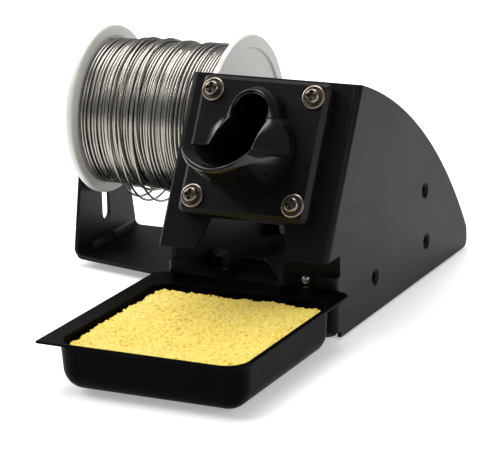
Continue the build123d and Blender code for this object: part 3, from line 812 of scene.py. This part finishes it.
class STAND_OT_solder(bpy.types.Operator):
    """Wind the solder: even layers, an uneven last layer and three loose turns"""

    bl_idname = "iron_stand.solder"
    bl_label = "Solder"

    steps = 26

    def strand(self, curve, turns, slack=1.0):
        """One wire through a list of (x, radius, sag) turns; slack sharpens the hanging part."""
        points = []
        for (x, radius, sag), (next_x, next_radius, _) in zip(turns, turns[1:]):
            for step in range(self.steps):
                t = step / self.steps
                angle = 2.0 * math.pi * t
                hang = sag * (0.5 - 0.5 * math.cos(angle)) ** slack
                reach = radius + (next_radius - radius) * t
                points.append(round_axle(x + (next_x - x) * t, reach, angle, hang))
        spline = curve.splines.new("NURBS")
        spline.points.add(len(points) - 1)
        for spot, place in zip(spline.points, points):
            spot.co = (*place, 1.0)
        spline.order_u = 4
        spline.use_endpoint_u = True
        spline.resolution_u = 3

    def spacing(self, x, left, chance):
        """How far the next turn of the last layer lies, in wire diameters."""
        if x < left + 7.5:
            return chance.choice((1.02, 1.55, 1.9, 1.3))
        if x < left + 19.5:
            return 1.02 + chance.uniform(0.0, 0.03)
        return chance.choice((1.02, 1.05, 1.35, 2.1, 1.1, 1.8)) + chance.uniform(0.0, 0.04)

    def wire_curve(self, name, diameter):
        """An empty curve that gives its strands the wire's thickness."""
        curve = bpy.data.curves.new(name, "CURVE")
        curve.dimensions = "3D"
        curve.bevel_depth = diameter / 2.0
        curve.bevel_resolution = 3
        curve.use_fill_caps = True
        piece = bpy.data.objects.new(name, curve)
        bpy.context.scene.collection.objects.link(piece)
        return piece

    def execute(self, context):
        sizes = context.scene.spool_sizes
        chance = random.Random(sizes.seed)
        wire = sizes.wire / MM
        left = SPOOL_LEFT + sizes.flange_thick / MM + wire * 0.55
        right = SPOOL_RIGHT - sizes.flange_thick / MM - wire * 0.55
        packed = sizes.packed_radius / MM
        start = left - 0.4
        stop = right + 0.4
        ends = [(start, CORE_RADIUS), (start, packed), (stop, packed), (stop, CORE_RADIUS)]
        core = turned("packed_solder", rounded(ends, [0.0, 0.3, 0.3, 0.0], 2), 96)
        settle(core, "spool", "solder_wire", "shaded_wire")

        layers = self.wire_curve("solder_layers", sizes.wire)
        first = []
        x = left
        while x < right:
            first.append((x, packed + wire * 0.42 + chance.uniform(-0.04, 0.04), 0.3))
            x += wire * 1.03
        self.strand(layers.data, first)
        second = []
        x = left
        while x < right:
            second.append((x, packed + wire * 1.25 + chance.uniform(-0.03, 0.05), 0.9))
            x += wire * self.spacing(x, left, chance)
        self.strand(layers.data, second)
        for start, stop, drift, lift in STRAY_GROUPS:
            turns = [(start, packed + wire, 0.8)]
            x = start
            while (x - stop) * drift < 0.0:
                x += wire * drift * chance.uniform(0.8, 1.35)
                turns.append((x, packed + wire * (lift + chance.uniform(-0.15, 0.15)), 1.4))
            turns.append((x + drift, packed + wire, 0.8))
            self.strand(layers.data, turns)
        settle(layers, "spool", "solder_wire", "wire", "solder_winding")

        loose = self.wire_curve("loose_solder", sizes.wire * 0.86)
        near = packed + wire * 2.1
        for start, drift, sag in ((-82.6, 1.4, 5.2), (-78.8, 1.8, 6.6), (-73.4, 2.2, 6.4)):
            loop = [(start - drift, packed + wire, 0.4), (start, near, sag),
                    (start + drift, near, 0.4), (start + drift * 2.0, packed + wire, 0.4)]
            self.strand(loose.data, loop, 2.2)
        settle(loose, "spool", "solder_wire", "wire", "loose_solder_turns")
        return {"FINISHED"}


class STAND_OT_sponge(bpy.types.Operator):
    """Grow the cellulose sponge with its open pores and torn edges"""

    bl_idname = "iron_stand.sponge"
    bl_label = "Sponge"

    def ring_point(self, a, b, half_x, half_y, corner):
        """A square's point (a, b from -1 to 1) moved into a rectangle with round corners."""
        ring = max(abs(a), abs(b))
        if ring == 0.0:
            return 0.0, 0.0
        x = abs(a) / ring * half_x
        y = abs(b) / ring * half_y
        cx = half_x - corner
        cy = half_y - corner
        if x > cx and y > cy:
            square = x * x + y * y
            middle = x * cx + y * cy
            shrink = (middle + math.sqrt(middle ** 2 - square * (cx * cx + cy * cy - corner ** 2)))
            x *= shrink / square
            y *= shrink / square
        return math.copysign(x * ring, a), math.copysign(y * ring, b)

    def pits(self, place, spacing):
        """Depth of the pores at a place, from 0 to about 1."""
        bent = place + noise.noise_vector(place / (spacing * 1.3)) * spacing * 0.55
        near = noise.voronoi(bent / spacing)[0]
        large = max(0.0, 1.0 - near[0] / 0.42)
        fine = noise.voronoi(bent / (spacing * 0.42) + Vector((7.0, 3.0, 1.0)))[0]
        small = max(0.0, 1.0 - fine[0] / 0.5)
        drawn_out = Vector((place.x * 0.45, place.y, place.z))
        where = max(0.0, noise.noise(drawn_out / (spacing * 2.2)) * 3.4 - 0.2)
        return large * (0.10 + where) + small * 0.42

    def execute(self, context):
        sizes = context.scene.sponge_sizes
        noise.seed_set(sizes.seed)
        low, high = (Vector(corner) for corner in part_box("sponge"))
        middle = (low + high) / 2.0
        half = (high - low) / 2.0
        count = int(2.0 * half.x / sizes.mesh_step)
        layers = int(2.0 * half.z / (sizes.mesh_step * 1.25))
        shoulder = 0.0008
        tuck_radius = 0.0072
        bm = bmesh.new()

        def grown(x, y, z, outward):
            """A point of the plain block moved in by the pores and the slow unevenness."""
            place = middle + Vector((x, y, z))
            sway = noise.noise(place / 0.021 + Vector((3.1, 0.0, 0.0))) * 0.0007
            sway += noise.noise(place / 0.007) * 0.0004
            depth = self.pits(place, sizes.pore_spacing) * sizes.pore_depth
            lump = noise.noise(place / 0.0009) * 0.00055 + noise.noise(place / 0.0026) * 0.00045
            torn = noise.noise(place / 0.0019) * 0.0011 * min(1.0, outward.xy.length)
            return place - outward * (depth + 0.0007 + sway + lump + torn)

        grid = {}
        for i in range(count + 1):
            for j in range(count + 1):
                a = i / count * 2.0 - 1.0
                b = j / count * 2.0 - 1.0
                x, y = self.ring_point(a, b, half.x, half.y, sizes.corner)
                ring = max(abs(a), abs(b))
                inset = max(0.0, ring - 1.0 + shoulder / half.x) * half.x / shoulder
                fall = (1.0 - math.sqrt(1.0 - min(1.0, inset) ** 2)) * shoulder * 0.55
                outward = Vector((x / half.x * inset * 0.8, y / half.y * inset * 0.8, 1.0))
                grid[i, j] = bm.verts.new(grown(x, y, half.z - fall, outward.normalized()))
        for i in range(count):
            for j in range(count):
                bm.faces.new((grid[i, j], grid[i + 1, j], grid[i + 1, j + 1], grid[i, j + 1]))
        border = [(i, 0) for i in range(count)] + [(count, j) for j in range(count)]
        border += [(i, count) for i in range(count, 0, -1)]
        border += [(0, j) for j in range(count, 0, -1)]
        above = [grid[key] for key in border]
        for level in range(1, layers + 1):
            row = []
            for i, j in border:
                a = i / count * 2.0 - 1.0
                b = j / count * 2.0 - 1.0
                x, y = self.ring_point(a, b, half.x, half.y, sizes.corner)
                z = half.z - shoulder * 0.55 - (2.0 * half.z - shoulder * 0.55) * level / layers
                outward = Vector((x / half.x, y / half.y, 0.0)).normalized()
                deep = min(tuck_radius, max(0.0, tuck_radius - (z + half.z)))
                tuck = tuck_radius - math.sqrt(tuck_radius ** 2 - deep ** 2)
                side = Vector((x, y, z)) - outward * tuck
                row.append(bm.verts.new(grown(side.x, side.y, side.z, outward)))
            bridge(bm, above, row)
            above = row
        for vertex in above:
            vertex.co.z = low.z
        bm.faces.new(above)
        sponge = mesh_piece("sponge_block", bm)
        settle(sponge, "sponge_pad", "yellow_sponge", "sponge", "sponge")
        return {"FINISHED"}


class STAND_OT_stage(bpy.types.Operator):
    """Set the floor, the soft lights and the camera"""

    bl_idname = "iron_stand.stage"
    bl_label = "Stage"

    def softbox(self, name, place, aim, width, height, power):
        """A rectangular soft light at a place, turned to face its aim."""
        light = bpy.data.lights.new(name, "AREA")
        light.shape = "RECTANGLE"
        light.size = width
        light.size_y = height
        light.energy = power
        lamp = bpy.data.objects.new(name, light)
        bpy.context.scene.collection.objects.link(lamp)
        lamp.location = place
        lamp.rotation_euler = (Vector(aim) - Vector(place)).to_track_quat("-Z", "Y").to_euler()

    def execute(self, context):
        bm = bmesh.new()
        bmesh.ops.create_grid(bm, x_segments=24, y_segments=24, size=6.0)
        floor = mesh_piece("floor", bm)
        floor.location.z = -0.0002
        make = Finish("finish_floor")
        cloud = make.grain(3.0, 2.0)
        floor.data.materials.append(make.surface({
            "Base Color": make.mix(cloud, (0.90, 0.90, 0.90, 1.0), (0.93, 0.93, 0.93, 1.0)),
            "Roughness": 0.85 + cloud * 0.1,
            "Emission Color": (1.0, 1.0, 1.0, 1.0),
            "Emission Strength": 0.35,
            "Specular IOR Level": 0.2,
        }))

        world = bpy.data.worlds.new("soft_room")
        world.use_nodes = True
        sky = world.node_tree.nodes["Background"].inputs
        sky["Color"].default_value = (0.96, 0.98, 1.0, 1.0)
        sky["Strength"].default_value = 0.22
        context.scene.world = world

        aim = at(-10.0, 10.0, 40.0)
        self.softbox("top_box", (-0.25, 0.25, 1.5), aim, 1.3, 1.1, 25.0)
        self.softbox("key_box", (-1.25, -0.30, 1.05), aim, 0.7, 0.7, 11.0)
        self.softbox("side_box", (1.45, -0.55, 0.75), aim, 0.6, 0.8, 6.5)
        self.softbox("back_card", (-1.25, 0.95, 0.35), aim, 0.9, 0.7, 5.0)

        turn = math.radians(26.26)
        rise = math.radians(15.94)
        roll = math.radians(-1.44)
        back = Vector((math.sin(turn) * math.cos(rise), -math.cos(turn) * math.cos(rise),
                       math.sin(rise)))
        right = Vector((math.cos(turn), math.sin(turn), 0.0))
        up = back.cross(right)
        target = at(0.0, 40.0, 45.0) + (right * -17.25 + up * -15.38) * MM
        right_rolled = right * math.cos(roll) + up * math.sin(roll)
        up_rolled = up * math.cos(roll) - right * math.sin(roll)
        lens = bpy.data.cameras.new("camera")
        lens.sensor_width = 36.0
        lens.lens = 173.0
        lens.clip_start = 0.05
        camera = bpy.data.objects.new("camera", lens)
        context.scene.collection.objects.link(camera)
        pose = Matrix((right_rolled, up_rolled, back)).transposed().to_4x4()
        pose.translation = target + back * 899.61 * MM
        camera.matrix_world = pose
        context.scene.camera = camera
        context.scene.view_settings.view_transform = "Standard"
        return {"FINISHED"}


class STAND_PT_panel(bpy.types.Panel):
    """Lists the stand's pieces and their settings"""

    bl_idname = "STAND_PT_panel"
    bl_label = "Iron stand"
    bl_space_type = "VIEW_3D"
    bl_region_type = "UI"
    bl_category = "Iron stand"

    def draw(self, context):
        layout = self.layout
        for group in SETTINGS:
            box = layout.box()
            settings = getattr(context.scene, group)
            for key in settings.bl_rna.properties.keys():
                if key not in ("rna_type", "name"):
                    box.prop(settings, key)
        for operator in OPERATORS:
            layout.operator(operator.bl_idname)


SETTINGS = {
    "stand_tones": StandTones,
    "funnel_sizes": FunnelSizes,
    "spool_sizes": SpoolSizes,
    "sponge_sizes": SpongeSizes,
}
OPERATORS = (
    STAND_OT_stage,
    STAND_OT_sheet_parts,
    STAND_OT_hardware,
    STAND_OT_cup_washers,
    STAND_OT_holder,
    STAND_OT_spool,
    STAND_OT_solder,
    STAND_OT_sponge,
)


def register():
    for group, kind in SETTINGS.items():
        bpy.utils.register_class(kind)
        setattr(bpy.types.Scene, group, bpy.props.PointerProperty(type=kind))
    for operator in OPERATORS:
        bpy.utils.register_class(operator)
    bpy.utils.register_class(STAND_PT_panel)


def unregister():
    bpy.utils.unregister_class(STAND_PT_panel)
    for operator in reversed(OPERATORS):
        bpy.utils.unregister_class(operator)
    for group, kind in SETTINGS.items():
        delattr(bpy.types.Scene, group)
        bpy.utils.unregister_class(kind)


def main():
    register()
    bpy.ops.iron_stand.stage()
    bpy.ops.iron_stand.sheet_parts()
    bpy.ops.iron_stand.hardware()
    bpy.ops.iron_stand.cup_washers()
    bpy.ops.iron_stand.holder()
    bpy.ops.iron_stand.spool()
    bpy.ops.iron_stand.solder()
    bpy.ops.iron_stand.sponge()


if __name__ == "__main__":
    main()
